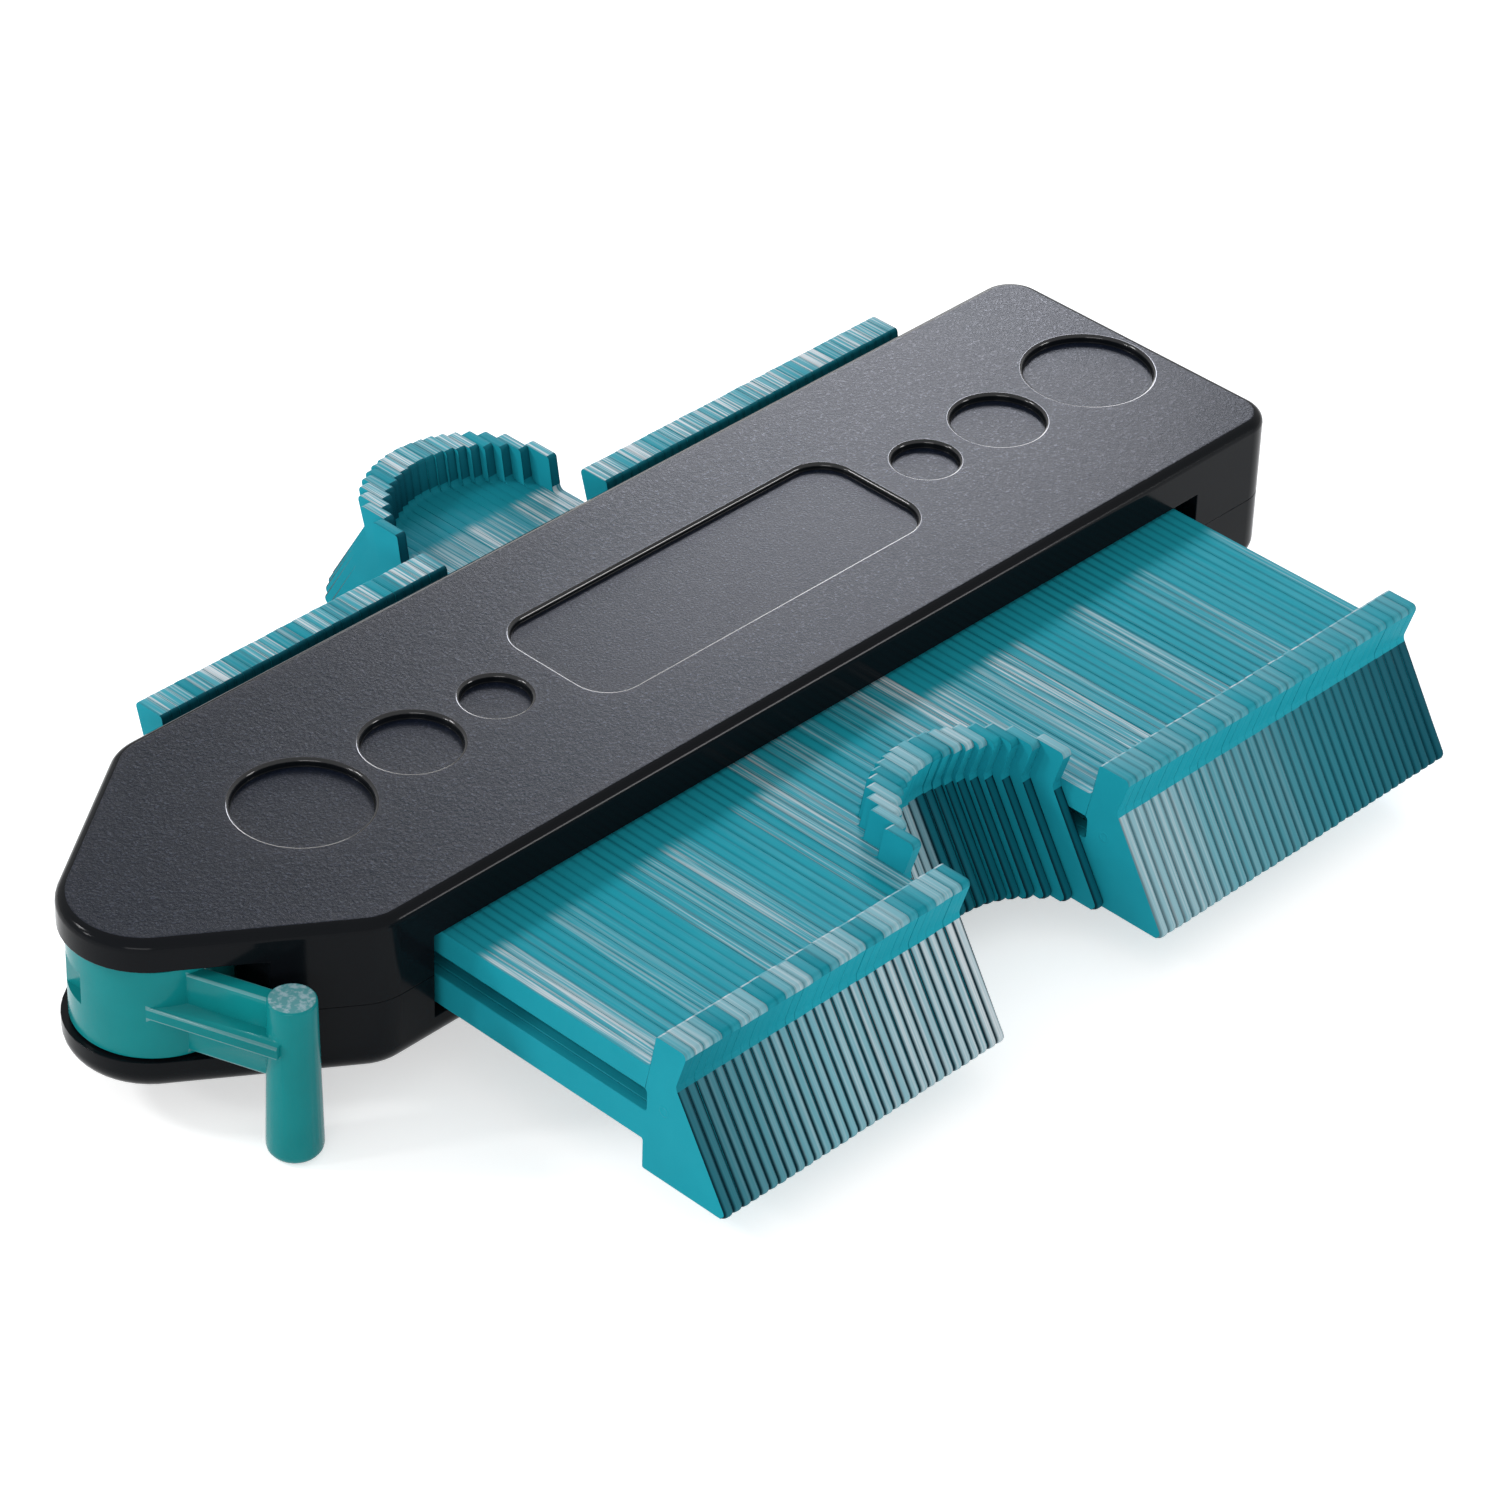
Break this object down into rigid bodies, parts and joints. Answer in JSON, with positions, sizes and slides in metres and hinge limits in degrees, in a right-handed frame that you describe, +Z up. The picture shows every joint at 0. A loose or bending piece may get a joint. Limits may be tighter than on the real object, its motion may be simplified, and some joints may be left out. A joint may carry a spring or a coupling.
{
  "type": "contour gauge",
  "caption": "Flat contour gauge: a tapered housing carries sliding lamellae that keep the outline of a shape pressed into them, locked by a lever at the nose.",
  "frame": {"origin": "on the housing's flat underside, below the middle of the long panel recess", "axes": "+X along the housing towards the square end, +Y across it towards the back, +Z up"},
  "size_m": [0.1709, 0.1181, 0.0255],
  "materials": {
    "housing_plastic": "fine grained, dark blue-black",
    "lamella_plastic": "smooth satin teal",
    "lever_plastic": "smooth satin teal",
    "inner_plastic": "plain moulded",
    "steel": "bright zinc plated"
  },
  "bodies": {
    "housing": {"top_cover": "housing_plastic", "bottom_cover": "housing_plastic", "lever_pivot_pin": "steel", "guide_rail": "steel", "end_stop": "inner_plastic", "cover_screws": "steel"},
    "lever": {"lock_lever": "lever_plastic"},
    "clamp": {"clamp_slider": "inner_plastic"},
    "lamellae_left_1_body": {"lamellae_left_1": "lamella_plastic"},
    "lamellae_left_2_body": {"lamellae_left_2": "lamella_plastic"},
    "lamellae_left_3_body": {"lamellae_left_3": "lamella_plastic"},
    "lamellae_left_4_body": {"lamellae_left_4": "lamella_plastic"},
    "lamella_arc_1_body": {"lamella_arc_1": "lamella_plastic"},
    "lamella_arc_2_body": {"lamella_arc_2": "lamella_plastic"},
    "lamella_arc_3_body": {"lamella_arc_3": "lamella_plastic"},
    "lamella_arc_4_body": {"lamella_arc_4": "lamella_plastic"},
    "lamella_arc_5_body": {"lamella_arc_5": "lamella_plastic"},
    "lamella_arc_6_body": {"lamella_arc_6": "lamella_plastic"},
    "lamella_arc_7_body": {"lamella_arc_7": "lamella_plastic"},
    "lamella_arc_8_body": {"lamella_arc_8": "lamella_plastic"},
    "lamella_arc_9_body": {"lamella_arc_9": "lamella_plastic"},
    "lamella_arc_10_body": {"lamella_arc_10": "lamella_plastic"},
    "lamella_arc_11_body": {"lamella_arc_11": "lamella_plastic"},
    "lamella_arc_12_body": {"lamella_arc_12": "lamella_plastic"},
    "lamella_arc_13_body": {"lamella_arc_13": "lamella_plastic"},
    "lamella_arc_14_body": {"lamella_arc_14": "lamella_plastic"},
    "lamella_arc_15_body": {"lamella_arc_15": "lamella_plastic"},
    "lamella_arc_16_body": {"lamella_arc_16": "lamella_plastic"},
    "lamella_arc_17_body": {"lamella_arc_17": "lamella_plastic"},
    "lamella_arc_18_body": {"lamella_arc_18": "lamella_plastic"},
    "lamella_arc_19_body": {"lamella_arc_19": "lamella_plastic"},
    "lamellae_right_1_body": {"lamellae_right_1": "lamella_plastic"},
    "lamellae_right_2_body": {"lamellae_right_2": "lamella_plastic"},
    "lamellae_right_3_body": {"lamellae_right_3": "lamella_plastic"},
    "lamellae_right_4_body": {"lamellae_right_4": "lamella_plastic"}
  },
  "joints": [
    {"name": "lever_turn", "type": "hinge", "parent": "housing", "child": "lever", "pos_m": [-0.08646, 0, 0.0104], "axis": [0, 0, 1], "range_deg": [-110, 0]},
    {"name": "clamp_slide", "type": "slide", "parent": "housing", "child": "clamp", "axis": [1, 0, 0], "range_m": [-0.0006, 0]},
    {"name": "lamellae_left_1_slide", "type": "slide", "parent": "housing", "child": "lamellae_left_1_body", "axis": [0, 1, 0], "range_m": [0, 0.03]},
    {"name": "lamellae_left_2_slide", "type": "slide", "parent": "housing", "child": "lamellae_left_2_body", "axis": [0, 1, 0], "range_m": [0, 0.03]},
    {"name": "lamellae_left_3_slide", "type": "slide", "parent": "housing", "child": "lamellae_left_3_body", "axis": [0, 1, 0], "range_m": [0, 0.03]},
    {"name": "lamellae_left_4_slide", "type": "slide", "parent": "housing", "child": "lamellae_left_4_body", "axis": [0, 1, 0], "range_m": [0, 0.03]},
    {"name": "lamella_arc_1_slide", "type": "slide", "parent": "housing", "child": "lamella_arc_1_body", "axis": [0, 1, 0], "range_m": [-0.00855, 0.02145]},
    {"name": "lamella_arc_2_slide", "type": "slide", "parent": "housing", "child": "lamella_arc_2_body", "axis": [0, 1, 0], "range_m": [-0.01201, 0.018]},
    {"name": "lamella_arc_3_slide", "type": "slide", "parent": "housing", "child": "lamella_arc_3_body", "axis": [0, 1, 0], "range_m": [-0.01392, 0.01607]},
    {"name": "lamella_arc_4_slide", "type": "slide", "parent": "housing", "child": "lamella_arc_4_body", "axis": [0, 1, 0], "range_m": [-0.01528, 0.01472]},
    {"name": "lamella_arc_5_slide", "type": "slide", "parent": "housing", "child": "lamella_arc_5_body", "axis": [0, 1, 0], "range_m": [-0.0163, 0.0137]},
    {"name": "lamella_arc_6_slide", "type": "slide", "parent": "housing", "child": "lamella_arc_6_body", "axis": [0, 1, 0], "range_m": [-0.01706, 0.01294]},
    {"name": "lamella_arc_7_slide", "type": "slide", "parent": "housing", "child": "lamella_arc_7_body", "axis": [0, 1, 0], "range_m": [-0.01762, 0.01238]},
    {"name": "lamella_arc_8_slide", "type": "slide", "parent": "housing", "child": "lamella_arc_8_body", "axis": [0, 1, 0], "range_m": [-0.018, 0.012]},
    {"name": "lamella_arc_9_slide", "type": "slide", "parent": "housing", "child": "lamella_arc_9_body", "axis": [0, 1, 0], "range_m": [-0.01823, 0.01177]},
    {"name": "lamella_arc_10_slide", "type": "slide", "parent": "housing", "child": "lamella_arc_10_body", "axis": [0, 1, 0], "range_m": [-0.0183, 0.0117]},
    {"name": "lamella_arc_11_slide", "type": "slide", "parent": "housing", "child": "lamella_arc_11_body", "axis": [0, 1, 0], "range_m": [-0.01823, 0.01177]},
    {"name": "lamella_arc_12_slide", "type": "slide", "parent": "housing", "child": "lamella_arc_12_body", "axis": [0, 1, 0], "range_m": [-0.018, 0.012]},
    {"name": "lamella_arc_13_slide", "type": "slide", "parent": "housing", "child": "lamella_arc_13_body", "axis": [0, 1, 0], "range_m": [-0.01762, 0.01238]},
    {"name": "lamella_arc_14_slide", "type": "slide", "parent": "housing", "child": "lamella_arc_14_body", "axis": [0, 1, 0], "range_m": [-0.01706, 0.01294]},
    {"name": "lamella_arc_15_slide", "type": "slide", "parent": "housing", "child": "lamella_arc_15_body", "axis": [0, 1, 0], "range_m": [-0.0163, 0.0137]},
    {"name": "lamella_arc_16_slide", "type": "slide", "parent": "housing", "child": "lamella_arc_16_body", "axis": [0, 1, 0], "range_m": [-0.01528, 0.01472]},
    {"name": "lamella_arc_17_slide", "type": "slide", "parent": "housing", "child": "lamella_arc_17_body", "axis": [0, 1, 0], "range_m": [-0.01392, 0.01607]},
    {"name": "lamella_arc_18_slide", "type": "slide", "parent": "housing", "child": "lamella_arc_18_body", "axis": [0, 1, 0], "range_m": [-0.01201, 0.018]},
    {"name": "lamella_arc_19_slide", "type": "slide", "parent": "housing", "child": "lamella_arc_19_body", "axis": [0, 1, 0], "range_m": [-0.00855, 0.02145]},
    {"name": "lamellae_right_1_slide", "type": "slide", "parent": "housing", "child": "lamellae_right_1_body", "axis": [0, 1, 0], "range_m": [0, 0.03]},
    {"name": "lamellae_right_2_slide", "type": "slide", "parent": "housing", "child": "lamellae_right_2_body", "axis": [0, 1, 0], "range_m": [0, 0.03]},
    {"name": "lamellae_right_3_slide", "type": "slide", "parent": "housing", "child": "lamellae_right_3_body", "axis": [0, 1, 0], "range_m": [0, 0.03]},
    {"name": "lamellae_right_4_slide", "type": "slide", "parent": "housing", "child": "lamellae_right_4_body", "axis": [0, 1, 0], "range_m": [0, 0.03]}
  ],
  "couplings": [
    {"joint": "lever_turn", "follows": "clamp_slide", "rad_per_m": 3199.7}
  ]
}
